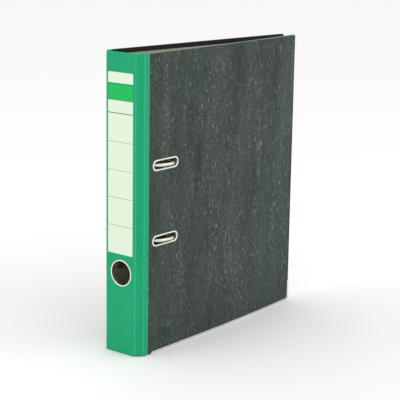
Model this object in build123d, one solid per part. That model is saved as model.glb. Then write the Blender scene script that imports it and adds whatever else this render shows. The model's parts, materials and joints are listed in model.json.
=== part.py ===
from build123d import *
import math
import os

# A lever arch file that stands closed on its foot.
# Frame: +Z up, the spine faces -Y, the covers run along +Y, the front cover is at +X.
# The origin is the middle of the spine's foot. All sizes are in millimetres.

# Case
HEIGHT = 318.0
SPINE_WIDTH = 38.9
STRIP_OUT = 7.3            # how far a hinge strip widens the file past the spine's edge
STRIP_BACK = 8.25          # how far a hinge strip runs back from the spine's face
COVER_LENGTH = 269.0
COVER_STRAIGHT = 75.0      # the front cover is flat this far from its crease, then bows in
FRONT_BOW = 4.0            # degrees the front cover turns in over the rest
BACK_LEAN = 6.3            # degrees the back cover leans in
BOARD = 2.0
SKIN = 0.2
TURN_IN = 5.0              # covering paper that shows round the lining
CORNER_R = 2.5

# Creases
CREASE_GAP = 0.15          # from a crease line to each covering's edge
BOARD_SETBACK = 1.9        # from a crease line to each board's edge
SEAM = 5.33                # where the spine's covering ends on each cover

# Edge rails
RAIL_SHEET = 0.4
RAIL_LEG = 2.0
RAIL_START = 11.0
RAIL_RISE = 24.0
RAIL_CORNER_R = 2.9

# Spine fittings
LABEL_WIDTH = 34.0
LABEL_HEIGHT = 189.7
LABEL_FOOT = 108.0
LABEL_SHEET = 0.15
LABEL_CORNER_R = 1.0
RING_BORE_R = 13.0
RING_RIM = 1.4
RING_HEIGHT = 87.75
RING_SHIFT = 1.2
EYELET_SHEET = 0.4
EYELET_PROUD = 0.7
EYELET_EASE = 0.3
FIT_GAP = 0.1

# Arch slots in the front cover
ARCH_PITCH = 80.0
ARCH_CENTRE = 161.9
SLOT_START = 11.3
SLOT_LENGTH = 41.0
SLOT_HEIGHT = 12.0
SLOT_RIM = 1.9

# Mechanism: up from the back cover's outer face is "h", away from its crease is "u"
PLATE = 1.0
PLATE_NEAR = 12.0
PLATE_FAR = 58.0
PLATE_HALF = 78.0
PLATE_LIP = 1.5
PLATE_CORNER_R = 3.0
RIVET_R = 2.0
RIVET_HEAD_R = 3.8
RIVET_HEAD = 1.1
RIVET_NEAR = 23.0
RIVET_FAR = 49.0
RIVET_HALF = 68.0
WIRE_R = 1.8
AXLE_U = 21.0
AXLE_GAP = 0.2             # between the axle and the base plate
RUN_GAP = 0.08             # radial clearance of a turning fit
MOVE_GAP = 0.3             # between pieces that pass each other
ARCH_FAR_U = 50.0
ARCH_TOP = 53.8
ARCH_NEAR_R = 14.0
ARCH_FAR_R = 10.0
ARCH_FOOT_R = 3.2
ARCH_JOIN = 37.0
CRANK_HALF = 13.0
CRANK_REACH = 10.5
CRANK_RISE = 1.8
CRANK_BEND_R = 2.6
STRAP_HALF = 30.0
STRAP_WIDTH = 8.0
STRAP_SHEET = 1.0
STRAP_FOOT = 4.5
POST_R = 2.2
POST_COLLAR_R = 4.0
POST_COLLAR = 1.2
LEVER_U = 39.0
LEVER_H = 11.0
LEVER_SHEET = 1.2
LEVER_WIDTH = 15.2
LEVER_EYE_R = 4.2
LEVER_TAB_WIDTH = 20.0
PIVOT_R = 2.0
PIVOT_HEAD_R = 3.2
PIVOT_HEAD = 0.8
ROLLER_R = 4.0
ROLLER_PIN_R = 1.5
EAR_SHEET = 1.0
EAR_HALF = 4.5
SPRING_SHEET = 0.4
SPRING_WIDTH = 8.0
BAR_H = 5.0
BAR_SHEET = 1.2
BAR_NEAR = 44.5
BAR_FAR = 56.5
BAR_HALF = 56.0
BAR_NOTCH = 4.0
BAR_NOTCH_HALF = 13.0
BAR_LIP = 1.6
BUSH_R = 4.6
BUSH_WALL_GAP = 0.25
BUSH = 2.0

# What follows from them
THICK = BOARD + 2 * SKIN
FACE_Y = -THICK / 2
CREASE_X = SPINE_WIDTH / 2
BEVEL_X = CREASE_X + STRIP_OUT
BEVEL_Y = FACE_Y + STRIP_BACK
STRIP_LENGTH = math.hypot(STRIP_OUT, STRIP_BACK)
STRIP_ANGLE = math.degrees(math.atan2(STRIP_BACK, STRIP_OUT))
BOW_R = (COVER_LENGTH - COVER_STRAIGHT) / math.radians(FRONT_BOW)
PLATE_TOP = THICK + PLATE
AXLE_H = PLATE_TOP + AXLE_GAP + WIRE_R
CRANK_U = AXLE_U + CRANK_REACH
CRANK_H = AXLE_H + CRANK_RISE
ROLLER_H = CRANK_H + WIRE_R + MOVE_GAP + ROLLER_R
EAR_INNER = LEVER_WIDTH / 2 + MOVE_GAP

SPINE = Location((-CREASE_X, FACE_Y, 0), (0, 0, -90))
FRONT_STRIP = Location((CREASE_X, FACE_Y, 0), (0, 0, STRIP_ANGLE - 90))
BACK_STRIP = Location((-BEVEL_X, BEVEL_Y, 0), (0, 0, -STRIP_ANGLE - 90))
FRONT_COVER = Location((BEVEL_X, BEVEL_Y, 0))
BACK_COVER = Location((-BEVEL_X, BEVEL_Y, 0), (0, 0, -BACK_LEAN))


# A panel is drawn along +Y with its outer face at x = 0 and its depth towards -X.

def panel_point(along, depth, bowed):
    """Plan position, along the panel and in from its outer face."""
    if not bowed or along <= COVER_STRAIGHT:
        return Vector(-depth, along)
    turn = (along - COVER_STRAIGHT) / BOW_R
    reach = BOW_R - depth
    return Vector(reach * math.cos(turn) - BOW_R, COVER_STRAIGHT + reach * math.sin(turn))


def panel_side(start, end, depth, bowed):
    """Edges of one side of a panel's plan, flat first and then bowed."""
    edges = []
    bend_start = min(start, end)
    if not bowed or max(start, end) <= COVER_STRAIGHT:
        edges.append(Line(panel_point(start, depth, bowed), panel_point(end, depth, bowed)))
        return edges
    if bend_start < COVER_STRAIGHT:
        edges.append(Line(panel_point(bend_start, depth, True),
                          panel_point(COVER_STRAIGHT, depth, True)))
        bend_start = COVER_STRAIGHT
    bend_end = max(start, end)
    edges.append(ThreePointArc(panel_point(bend_start, depth, True),
                               panel_point((bend_start + bend_end) / 2, depth, True),
                               panel_point(bend_end, depth, True)))
    return edges


def slab(along, depth, rise, bowed=False, top_r=0.0, foot_r=0.0):
    """Piece of a panel between two values along it, in depth and in height."""
    near, far = along
    edges = panel_side(near, far, depth[0], bowed)
    edges += panel_side(near, far, depth[1], bowed)
    for end in (near, far):
        edges.append(Line(panel_point(end, depth[0], bowed), panel_point(end, depth[1], bowed)))
    body = Pos(0, 0, rise[0]) * extrude(make_face(edges), amount=rise[1] - rise[0])
    middle = panel_point(far, (depth[0] + depth[1]) / 2, bowed)
    for radius, level in ((top_r, rise[1]), (foot_r, rise[0])):
        if radius > 0:
            corner = body.edges().sort_by_distance((middle.X, middle.Y, level))[0]
            body = fillet(corner, radius)
    return body


def stadium(length, height, depth):
    """Long hole's shape, along the panel, between two depths."""
    face = Plane.YZ * SlotOverall(length, height)
    return Pos(-depth[1], 0, 0) * extrude(face, amount=depth[1] - depth[0])


def disc(radius, depth):
    """Round of a panel between two depths."""
    face = Plane.YZ * Circle(radius)
    return Pos(-depth[1], 0, 0) * extrude(face, amount=depth[1] - depth[0])


def slot_places():
    """Middles of the two arch slots on the front cover."""
    middle = SLOT_START + SLOT_LENGTH / 2
    return [Pos(0, middle, ARCH_CENTRE + side * ARCH_PITCH / 2) for side in (1, -1)]


def cut_slots(body):
    """Front cover layer with the holes for the slot eyelets."""
    length = SLOT_LENGTH - 2 * SLOT_RIM + 2 * (EYELET_SHEET + FIT_GAP)
    height = SLOT_HEIGHT - 2 * SLOT_RIM + 2 * (EYELET_SHEET + FIT_GAP)
    for place in slot_places():
        body -= place * stadium(length, height, (-1, THICK + 1))
    return body


def ring_place():
    """Middle of the thumb ring on the spine."""
    return Pos(0, SPINE_WIDTH / 2 + RING_SHIFT, RING_HEIGHT)


def cut_ring(body):
    """Spine layer with the hole for the thumb ring."""
    return body - ring_place() * disc(RING_BORE_R + EYELET_SHEET + FIT_GAP, (-1, THICK + 1))


def folded_cover(near, far, foot, lining_near, lining_far, bowed=False, corner=0.0):
    """Covering sheet turned in over a board's top, foot and, at a cover's end, its fore edge."""
    fore_edge = corner > 0
    outside = slab((near, far), (0, THICK), (foot, HEIGHT), bowed, corner, corner)
    inner_r = max(corner - SKIN, 0.0)
    board_end = far - SKIN if fore_edge else far + 1
    core = slab((near - 1, board_end), (SKIN, THICK - SKIN), (foot + SKIN, HEIGHT - SKIN),
                bowed, inner_r, inner_r)
    window = slab((lining_near, lining_far), (THICK - SKIN, THICK + 1),
                  (foot + TURN_IN, HEIGHT - TURN_IN), bowed)
    return outside - core - window


# Covers

def cover_board(bowed):
    inner_r = CORNER_R - SKIN
    return slab((BOARD_SETBACK, COVER_LENGTH - SKIN), (SKIN, SKIN + BOARD),
                (RAIL_SHEET + SKIN, HEIGHT - SKIN), bowed, inner_r, inner_r)


def cover_paper(bowed):
    return folded_cover(SEAM, COVER_LENGTH, RAIL_SHEET, SEAM - 1, COVER_LENGTH - TURN_IN,
                        bowed, CORNER_R)


def cover_lining(bowed):
    return slab((BOARD_SETBACK, COVER_LENGTH - TURN_IN), (THICK - SKIN, THICK),
                (RAIL_SHEET + TURN_IN, HEIGHT - TURN_IN), bowed)


def cover_band():
    """Edge of the spine's covering on a cover, turned in at the top and foot."""
    band = folded_cover(BOARD_SETBACK, SEAM, RAIL_SHEET, BOARD_SETBACK - 1, SEAM + 1)
    return band + slab((CREASE_GAP, BOARD_SETBACK), (0, SKIN), (RAIL_SHEET, HEIGHT))


def edge_rail(bowed):
    """Sheet channel on the foot edge that turns up the fore edge."""
    outer = slab((RAIL_START, COVER_LENGTH + RAIL_SHEET), (-RAIL_SHEET, THICK + RAIL_SHEET),
                 (0, RAIL_RISE), bowed, 0.0, RAIL_CORNER_R)
    core = slab((RAIL_START - 1, COVER_LENGTH), (0, THICK), (RAIL_SHEET, RAIL_RISE + 1),
                bowed, 0.0, CORNER_R)
    window = slab((RAIL_START - 1, COVER_LENGTH - RAIL_LEG), (-1, THICK + 1),
                  (RAIL_SHEET + RAIL_LEG, RAIL_RISE + 1), bowed, 0.0, RAIL_LEG)
    return outer - core - window


def slot_eyelet():
    """Long metal eyelet, flanged on both faces."""
    bore_length = SLOT_LENGTH - 2 * SLOT_RIM
    bore_height = SLOT_HEIGHT - 2 * SLOT_RIM
    outer = stadium(SLOT_LENGTH, SLOT_HEIGHT, (-EYELET_PROUD, 0))
    outer = fillet(outer.faces().sort_by(Axis.X)[-1].edges(), EYELET_PROUD - EYELET_EASE / 2)
    barrel = stadium(bore_length + 2 * EYELET_SHEET, bore_height + 2 * EYELET_SHEET, (0, THICK))
    inner = stadium(SLOT_LENGTH - 1, SLOT_HEIGHT - 1, (THICK, THICK + EYELET_PROUD))
    inner = fillet(inner.faces().sort_by(Axis.X)[0].edges(), EYELET_EASE)
    bore = stadium(bore_length, bore_height, (-EYELET_PROUD - 1, THICK + EYELET_PROUD + 1))
    eyelet = outer + barrel + inner - bore
    lip = eyelet.faces().sort_by(Axis.X)[-1].inner_wires()[0].edges()
    return fillet(lip, EYELET_EASE)


def front_board():
    return cut_slots(cover_board(True))


def front_paper():
    return cut_slots(cover_paper(True))


def front_lining():
    return cut_slots(cover_lining(True))


# Spine and hinge strips

def spine_board():
    body = slab((BOARD_SETBACK, SPINE_WIDTH - BOARD_SETBACK), (SKIN, SKIN + BOARD),
                (SKIN, HEIGHT - SKIN))
    return cut_ring(body)


def spine_cover():
    body = folded_cover(BOARD_SETBACK, SPINE_WIDTH - BOARD_SETBACK, 0.0,
                        BOARD_SETBACK - 1, SPINE_WIDTH)
    body += slab((CREASE_GAP, SPINE_WIDTH - CREASE_GAP), (0, SKIN), (0, HEIGHT))
    return cut_ring(body)


def spine_lining():
    body = slab((BOARD_SETBACK, SPINE_WIDTH - BOARD_SETBACK), (THICK - SKIN, THICK),
                (TURN_IN, HEIGHT - TURN_IN))
    return cut_ring(body)


def spine_label():
    body = slab((CREASE_X - LABEL_WIDTH / 2, CREASE_X + LABEL_WIDTH / 2), (-LABEL_SHEET, 0),
                (LABEL_FOOT, LABEL_FOOT + LABEL_HEIGHT))
    return fillet(body.edges().filter_by(Axis.X), LABEL_CORNER_R)


def thumb_ring():
    """Round finger eyelet, rolled over both faces of the spine."""
    rim_r = RING_BORE_R + RING_RIM
    outer = disc(rim_r, (-EYELET_PROUD, 0))
    outer = fillet(outer.faces().sort_by(Axis.X)[-1].edges(), EYELET_PROUD - EYELET_EASE / 2)
    barrel = disc(RING_BORE_R + EYELET_SHEET, (0, THICK))
    inner = disc(rim_r, (THICK, THICK + EYELET_PROUD))
    inner = fillet(inner.faces().sort_by(Axis.X)[0].edges(), EYELET_EASE)
    bore = disc(RING_BORE_R, (-EYELET_PROUD - 1, THICK + EYELET_PROUD + 1))
    return ring_place() * (outer + barrel + inner - bore)


def strip_board():
    return slab((BOARD_SETBACK, STRIP_LENGTH - BOARD_SETBACK), (SKIN, SKIN + BOARD),
                (RAIL_SHEET + SKIN, HEIGHT - SKIN))


def strip_cover():
    body = folded_cover(BOARD_SETBACK, STRIP_LENGTH - BOARD_SETBACK, RAIL_SHEET,
                        BOARD_SETBACK - 1, STRIP_LENGTH)
    return body + slab((CREASE_GAP, STRIP_LENGTH - CREASE_GAP), (0, SKIN), (RAIL_SHEET, HEIGHT))


def strip_lining():
    return slab((BOARD_SETBACK, STRIP_LENGTH - BOARD_SETBACK), (THICK - SKIN, THICK),
                (RAIL_SHEET + TURN_IN, HEIGHT - TURN_IN))


# Mechanism, drawn with x = h, y = u and z from the middle between the arches

def rivet_places():
    return [(u, side * RIVET_HALF) for u in (RIVET_NEAR, RIVET_FAR) for side in (1, -1)]


def rivet_holes():
    """Shanks of the four rivets, from the back cover's outer face up."""
    shank = Plane.YZ * Circle(RIVET_R)
    body = Part()
    for u, z in rivet_places():
        body += Pos(0, u, z) * extrude(shank, amount=PLATE_TOP)
    return body


def base_rivets():
    """Four rivets through the back cover, headed on both faces."""
    dome_r = (RIVET_HEAD_R ** 2 + RIVET_HEAD ** 2) / (2 * RIVET_HEAD)
    profile = [
        Line((0, 0), (RIVET_HEAD_R, 0)),
        ThreePointArc((RIVET_HEAD_R, 0),
                      (RIVET_HEAD_R / 2, RIVET_HEAD - dome_r + math.sqrt(
                          dome_r ** 2 - RIVET_HEAD_R ** 2 / 4)),
                      (0, RIVET_HEAD)),
        Line((0, RIVET_HEAD), (0, 0)),
    ]
    dome = revolve(make_face(profile), Axis.Y)
    inner_head = Pos(PLATE_TOP, 0, 0) * Rot(0, 0, -90) * dome
    outer_head = Rot(0, 0, 90) * dome
    rivets = []
    for u, z in rivet_places():
        shank = extrude(Plane.YZ * Circle(RIVET_R), amount=PLATE_TOP)
        rivets.append(Pos(0, u, z) * (shank + inner_head + outer_head))
    return rivets


def base_plate():
    """Pressed plate with a low lip along both long edges."""
    body = Pos(THICK + PLATE / 2, (PLATE_NEAR + PLATE_FAR) / 2, 0) * Box(
        PLATE, PLATE_FAR - PLATE_NEAR, 2 * PLATE_HALF)
    body = fillet(body.edges().filter_by(Axis.X), PLATE_CORNER_R)
    lip = Box(PLATE_LIP, PLATE, 2 * (PLATE_HALF - 2 * PLATE_CORNER_R))
    for u in (PLATE_NEAR + PLATE / 2, PLATE_FAR - PLATE / 2):
        body += Pos(PLATE_TOP + PLATE_LIP / 2, u, 0) * lip
    return body - rivet_holes()


def bent_wire(points, radii, radius):
    """Round wire through the points, bent to the given radius at each inner one."""
    edges = []
    start = points[0]
    for before, corner, after, bend in zip(points, points[1:], points[2:], radii):
        into = (corner - before).normalized()
        out = (after - corner).normalized()
        turn = math.radians(into.get_angle(out))
        trim = bend * math.tan(turn / 2)
        first = corner - into * trim
        last = corner + out * trim
        crest = (out - into).normalized()
        middle = corner + crest * (bend / math.cos(turn / 2) - bend)
        edges.append(Line(start, first))
        edges.append(ThreePointArc(first, middle, last))
        start = last
    edges.append(Line(start, points[-1]))
    path = Wire(edges)
    profile = Plane(origin=points[0], z_dir=points[1] - points[0]) * Circle(radius)
    return sweep(profile, path=path)


def join_cutter(side):
    """Block on one side of the slanted cut where an arch meets its post."""
    size = 6 * max(WIRE_R, POST_R)
    shift = (size / 2 - MOVE_GAP / 2) / math.sqrt(2)
    return Pos(ARCH_JOIN + side * shift, ARCH_FAR_U - side * shift, 0) * Rot(0, 0, 45) * Box(
        size, size, size)


def arch_bracket():
    """One wire: arch, axle, crank, axle, arch."""
    half = ARCH_PITCH / 2
    end = ARCH_JOIN - 2 * WIRE_R
    points = [Vector(end, ARCH_FAR_U, half), Vector(ARCH_TOP, ARCH_FAR_U, half),
              Vector(ARCH_TOP, AXLE_U, half), Vector(AXLE_H, AXLE_U, half),
              Vector(AXLE_H, AXLE_U, CRANK_HALF), Vector(CRANK_H, CRANK_U, CRANK_HALF)]
    points += [Vector(p.X, p.Y, -p.Z) for p in reversed(points)]
    radii = [ARCH_FAR_R, ARCH_NEAR_R, ARCH_FOOT_R, CRANK_BEND_R, CRANK_BEND_R]
    body = bent_wire(points, radii + radii[::-1], WIRE_R)
    for z in (half, -half):
        body -= Pos(0, 0, z) * join_cutter(-1)
    return body


def post(side):
    """Fixed post with a slanted top and a collar at its foot."""
    length = ARCH_JOIN + 2 * POST_R - PLATE_TOP
    stem = extrude(Plane.YZ * Circle(POST_R), amount=length)
    collar = extrude(Plane.YZ * Circle(POST_COLLAR_R), amount=POST_COLLAR)
    body = Pos(PLATE_TOP, ARCH_FAR_U, 0) * (stem + collar)
    return Pos(0, 0, side * ARCH_PITCH / 2) * (body - join_cutter(1))


def arch_straps():
    """Two sheet straps that hold the axle down on the base plate."""
    inner_r = WIRE_R + RUN_GAP
    outer_r = inner_r + STRAP_SHEET
    over = Pos(AXLE_H, AXLE_U) * Circle(outer_r)
    legs = Pos((AXLE_H + PLATE_TOP) / 2, AXLE_U) * Rectangle(AXLE_H - PLATE_TOP, 2 * outer_r)
    feet = Pos(PLATE_TOP + STRAP_SHEET / 2, AXLE_U) * Rectangle(
        STRAP_SHEET, 2 * (outer_r + STRAP_FOOT))
    below = Pos(PLATE_TOP - outer_r, AXLE_U) * Rectangle(2 * outer_r, 4 * outer_r)
    hole = Pos(AXLE_H, AXLE_U) * Circle(inner_r)
    mouth = Pos(AXLE_H - outer_r, AXLE_U) * Rectangle(2 * outer_r, 2 * inner_r)
    strap = extrude(over + legs + feet - below - hole - mouth, amount=STRAP_WIDTH)
    middle = STRAP_WIDTH / 2
    return [Pos(0, 0, side * STRAP_HALF - middle) * strap for side in (1, -1)]


def lever_bearing():
    """Channel on the base plate with two ears for the lever's pivot."""
    length = EAR_INNER + EAR_SHEET
    floor = Pos(PLATE_TOP + EAR_SHEET / 2, LEVER_U) * Rectangle(EAR_SHEET, 2 * EAR_HALF)
    side = Pos((PLATE_TOP + LEVER_H) / 2, LEVER_U) * Rectangle(LEVER_H - PLATE_TOP, 2 * EAR_HALF)
    ear = side + Pos(LEVER_H, LEVER_U) * Circle(EAR_HALF) - Pos(LEVER_H, LEVER_U) * Circle(PIVOT_R)
    body = Pos(0, 0, -length) * extrude(floor, amount=2 * length)
    body += Pos(0, 0, EAR_INNER) * extrude(ear, amount=EAR_SHEET)
    body += Pos(0, 0, -length) * extrude(ear, amount=EAR_SHEET)
    return body


def headed_pin(radius, head_r, head, half, h, u):
    """Pin along the axle's direction with a flat head at each end."""
    body = Pos(0, 0, -half) * extrude(Circle(radius), amount=2 * half)
    for start in (-half - head, half):
        body += Pos(0, 0, start) * extrude(Circle(head_r), amount=head)
    return Pos(h, u, 0) * body


def lever_pin():
    return headed_pin(PIVOT_R, PIVOT_HEAD_R, PIVOT_HEAD, EAR_INNER + EAR_SHEET, LEVER_H, LEVER_U)


def roller_pin():
    head = MOVE_GAP / 2
    return headed_pin(ROLLER_PIN_R, ROLLER_PIN_R + head, head, LEVER_WIDTH / 2, ROLLER_H, CRANK_U)


def lever_roller():
    length = LEVER_WIDTH - 2 * (LEVER_SHEET + MOVE_GAP)
    face = Circle(ROLLER_R) - Circle(ROLLER_PIN_R + RUN_GAP)
    return Pos(ROLLER_H, CRANK_U, -length / 2) * extrude(face, amount=length)


def lever():
    """Pressed channel, open underneath, with a turned-up finger tab."""
    top_back = Vector(LEVER_H + 3.8, LEVER_U + 2.5)
    top_roller = Vector(ROLLER_H + ROLLER_R + LEVER_SHEET + 2 * MOVE_GAP, LEVER_U - 4)
    top_neck = Vector(top_roller.X + 2.2, LEVER_U - 17)
    top_end = Vector(top_roller.X + 5.2, LEVER_U - 31)
    under_end = Vector(top_end.X - 4.5, top_end.Y)
    under_neck = Vector(CRANK_H + WIRE_R + 2.6, CRANK_U - 3.5)
    under_crank = Vector(CRANK_H + WIRE_R + 0.7, CRANK_U + 2.3)
    under_eye = Vector(LEVER_H - 3.0, LEVER_U - 2.9)
    outline = [top_back, top_roller, top_neck, top_end, under_end, under_neck, under_crank,
               under_eye]
    side = make_face(Polyline(*outline, close=True)) + Pos(LEVER_H, LEVER_U) * Circle(LEVER_EYE_R)
    inner_half = LEVER_WIDTH / 2 - LEVER_SHEET
    body = Pos(0, 0, -LEVER_WIDTH / 2) * extrude(side, amount=LEVER_WIDTH)
    body -= Pos(-LEVER_SHEET, 0, -inner_half) * extrude(side, amount=2 * inner_half)
    below = Vector(-2 * LEVER_WIDTH, 0)
    open_side = make_face(Polyline(top_back - Vector(LEVER_SHEET, 0),
                                   top_roller - Vector(LEVER_SHEET, 0),
                                   top_neck - Vector(LEVER_SHEET, 0),
                                   top_end - Vector(LEVER_SHEET, 0),
                                   top_end + below, top_back + below, close=True))
    body -= Pos(0, 0, -inner_half) * extrude(open_side, amount=2 * inner_half)
    eye = Circle(PIVOT_R + RUN_GAP)
    body -= Pos(LEVER_H, LEVER_U, -LEVER_WIDTH) * extrude(eye, amount=2 * LEVER_WIDTH)
    pin_hole = Circle(ROLLER_PIN_R)
    body -= Pos(ROLLER_H, CRANK_U, -LEVER_WIDTH) * extrude(pin_hole, amount=2 * LEVER_WIDTH)
    tab_bend = Vector(top_end.X + 1.4, top_end.Y - 4.5)
    tab_tip = Vector(top_end.X + 8.5, top_end.Y - 6.5)
    thick = Vector(LEVER_SHEET, 0)
    tab = make_face(Polyline(top_end, tab_bend, tab_tip, tab_tip - Vector(0.3, LEVER_SHEET),
                             tab_bend - Vector(LEVER_SHEET, LEVER_SHEET), top_end - thick,
                             close=True))
    tab = Pos(0, 0, -LEVER_TAB_WIDTH / 2) * extrude(tab, amount=LEVER_TAB_WIDTH)
    return body + tab


def lift_spring():
    """Leaf on the base plate that lifts the crank when the lever lets go."""
    foot = Vector(PLATE_TOP, AXLE_U + 2.5)
    heel = Vector(PLATE_TOP, foot.Y + 4.0)
    crest = Vector(CRANK_H - WIRE_R - MOVE_GAP - SPRING_SHEET, CRANK_U + 1.0)
    thick = Vector(SPRING_SHEET, 0)
    side = make_face(Polyline(foot, heel, crest, crest + thick, heel + thick, foot + thick,
                              close=True))
    return Pos(0, 0, -SPRING_WIDTH / 2) * extrude(side, amount=SPRING_WIDTH)


def compressor_bar():
    """Sheet bar that slides on the posts, narrower where the lever stands."""
    width = BAR_FAR - BAR_NEAR
    body = Pos(BAR_H + BAR_SHEET / 2, (BAR_NEAR + BAR_FAR) / 2, 0) * Box(
        BAR_SHEET, width, 2 * BAR_HALF)
    body = fillet(body.edges().filter_by(Axis.X), PLATE_CORNER_R)
    notch = Pos(BAR_H, BAR_NEAR, 0) * Box(4 * BAR_SHEET, 2 * BAR_NOTCH, 2 * BAR_NOTCH_HALF)
    notch = fillet(notch.edges().filter_by(Axis.X), BAR_NOTCH / 2)
    body -= notch
    lip = Box(BAR_LIP, BAR_SHEET, 2 * (BAR_HALF - 2 * PLATE_CORNER_R))
    body += Pos(BAR_H + BAR_SHEET + BAR_LIP / 2, BAR_FAR - BAR_SHEET / 2, 0) * lip
    for side in (1, -1):
        hole = extrude(Plane.YZ * Circle(POST_R + 2 * BUSH_WALL_GAP), amount=4 * BAR_SHEET)
        body -= Pos(BAR_H - BAR_SHEET, ARCH_FAR_U, side * ARCH_PITCH / 2) * hole
    return body


def bar_bushes():
    """Two plastic bushes that guide the bar on the posts."""
    face = Plane.YZ * (Circle(BUSH_R) - Circle(POST_R + BUSH_WALL_GAP))
    bush = extrude(face, amount=BUSH)
    bush = fillet(bush.faces().sort_by(Axis.X)[-1].outer_wire().edges(), BUSH / 3)
    return [Pos(BAR_H + BAR_SHEET, ARCH_FAR_U, side * ARCH_PITCH / 2) * bush for side in (1, -1)]


def drilled(body):
    """Layer of the back cover with the rivets' holes."""
    return body - Pos(0, 0, ARCH_CENTRE) * rivet_holes()


def back_layer(body):
    """Cover layer turned round for the back, where depth runs along +X."""
    return drilled(mirror(body, about=Plane.YZ))


def write(name, pieces, place):
    """One STEP file for one sub-part."""
    solids = pieces if isinstance(pieces, list) else [pieces]
    placed = [place * piece for piece in solids]
    shape = placed[0] if len(placed) == 1 else Compound(children=placed)
    export_step(shape, "parts/" + name + ".step")


def main():
    os.makedirs("parts", exist_ok=True)
    mechanism = BACK_COVER * Pos(0, 0, ARCH_CENTRE)
    upper_slot, lower_slot = slot_places()

    write("spine_board", spine_board(), SPINE)
    write("spine_cover", spine_cover(), SPINE)
    write("spine_lining", spine_lining(), SPINE)
    write("spine_label", spine_label(), SPINE)
    write("thumb_ring", thumb_ring(), SPINE)

    for side, place in (("front", FRONT_STRIP), ("back", BACK_STRIP)):
        write(side + "_strip_board", strip_board(), place)
        write(side + "_strip_cover", strip_cover(), place)
        write(side + "_strip_lining", strip_lining(), place)

    write("front_board", front_board(), FRONT_COVER)
    write("front_paper", front_paper(), FRONT_COVER)
    write("front_lining", front_lining(), FRONT_COVER)
    write("front_band", cover_band(), FRONT_COVER)
    write("front_rail", edge_rail(True), FRONT_COVER)
    write("slot_eyelet_upper", upper_slot * slot_eyelet(), FRONT_COVER)
    write("slot_eyelet_lower", lower_slot * slot_eyelet(), FRONT_COVER)

    write("back_board", back_layer(cover_board(False)), BACK_COVER)
    write("back_paper", back_layer(cover_paper(False)), BACK_COVER)
    write("back_lining", back_layer(cover_lining(False)), BACK_COVER)
    write("back_band", mirror(cover_band(), about=Plane.YZ), BACK_COVER)
    write("back_rail", mirror(edge_rail(False), about=Plane.YZ), BACK_COVER)

    write("base_plate", base_plate(), mechanism)
    write("base_rivets", base_rivets(), mechanism)
    write("post_upper", post(1), mechanism)
    write("post_lower", post(-1), mechanism)
    write("arch_straps", arch_straps(), mechanism)
    write("lever_bearing", lever_bearing(), mechanism)
    write("lever_pin", lever_pin(), mechanism)
    write("lift_spring", lift_spring(), mechanism)
    write("arch_bracket", arch_bracket(), mechanism)
    write("lever", lever(), mechanism)
    write("roller_pin", roller_pin(), mechanism)
    write("lever_roller", lever_roller(), mechanism)
    write("compressor_bar", compressor_bar(), mechanism)
    write("bar_bushes", bar_bushes(), mechanism)


main()
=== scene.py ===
import json
import math

import bmesh
import bpy
from mathutils import Matrix, Vector


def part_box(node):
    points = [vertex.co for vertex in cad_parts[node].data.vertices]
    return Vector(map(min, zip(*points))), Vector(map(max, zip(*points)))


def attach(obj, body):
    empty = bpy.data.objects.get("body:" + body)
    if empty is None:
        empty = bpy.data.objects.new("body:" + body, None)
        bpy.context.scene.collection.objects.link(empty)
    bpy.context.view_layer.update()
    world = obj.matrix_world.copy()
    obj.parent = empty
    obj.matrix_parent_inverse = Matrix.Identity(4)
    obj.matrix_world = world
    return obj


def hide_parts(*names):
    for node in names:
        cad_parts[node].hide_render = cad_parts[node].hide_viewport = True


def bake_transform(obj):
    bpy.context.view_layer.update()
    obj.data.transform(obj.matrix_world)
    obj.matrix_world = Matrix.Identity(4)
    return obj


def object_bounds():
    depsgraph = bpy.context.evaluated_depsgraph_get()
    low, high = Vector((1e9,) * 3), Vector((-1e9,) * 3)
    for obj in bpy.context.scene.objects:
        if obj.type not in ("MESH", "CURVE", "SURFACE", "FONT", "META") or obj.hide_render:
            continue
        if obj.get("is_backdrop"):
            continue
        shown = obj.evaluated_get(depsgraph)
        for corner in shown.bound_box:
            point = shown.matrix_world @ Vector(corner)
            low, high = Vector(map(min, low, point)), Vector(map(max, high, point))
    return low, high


bl_info = {
    "name": "Lever Arch File",
    "version": (1, 0, 0),
    "blender": (4, 5, 0),
    "location": "3D View > Sidebar > Arch File",
    "description": "Coverings, metal fittings and finishes of a lever arch file",
    "category": "Object",
}

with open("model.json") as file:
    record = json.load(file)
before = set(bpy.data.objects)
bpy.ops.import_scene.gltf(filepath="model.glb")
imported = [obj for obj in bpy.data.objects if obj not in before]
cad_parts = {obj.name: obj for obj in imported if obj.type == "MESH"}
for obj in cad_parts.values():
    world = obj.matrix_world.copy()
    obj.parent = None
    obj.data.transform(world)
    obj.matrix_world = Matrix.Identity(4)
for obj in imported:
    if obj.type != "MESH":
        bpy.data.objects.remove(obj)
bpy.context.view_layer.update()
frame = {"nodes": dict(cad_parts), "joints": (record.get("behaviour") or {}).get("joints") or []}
joints = {joint["name"]: joint for joint in frame["joints"]}

MM = 0.001
SMOOTH_ANGLE = math.radians(32)
FOLD_ANGLE = math.radians(50)

# Spine label: distances down from its top edge, in millimetres
BLOCK_RULE, BLOCK_TOP, BLOCK_FOOT = 10.6, 11.6, 28.8
FIELD_RULE, FIELD_TOP = 41.2, 42.1
WRITING_RULES = (71.1, 100.5, 130.0, 159.5)
WRITING_RULE_HALF = 0.39

# Painted highlight along the top edge of the marbled paper: where it starts, and where it is whole
EDGE_HIGHLIGHT_FROM, EDGE_HIGHLIGHT_FULL = 0.6 * MM, 0.15 * MM

# Folded sheets: points along each line, and the lining's corners at a board's edge
FACE_STEPS = 48
CREASE_POINTS = 33
GROOVE_POINTS = 21
RIDGE_WIDTH = 0.75 * MM
VALLEY_WIDTH = 0.55 * MM
VALLEY_SHIFT = 1.3 * MM
BOARD_CORNER = 0.15 * MM
LINING_CORNER = 0.12 * MM

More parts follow.
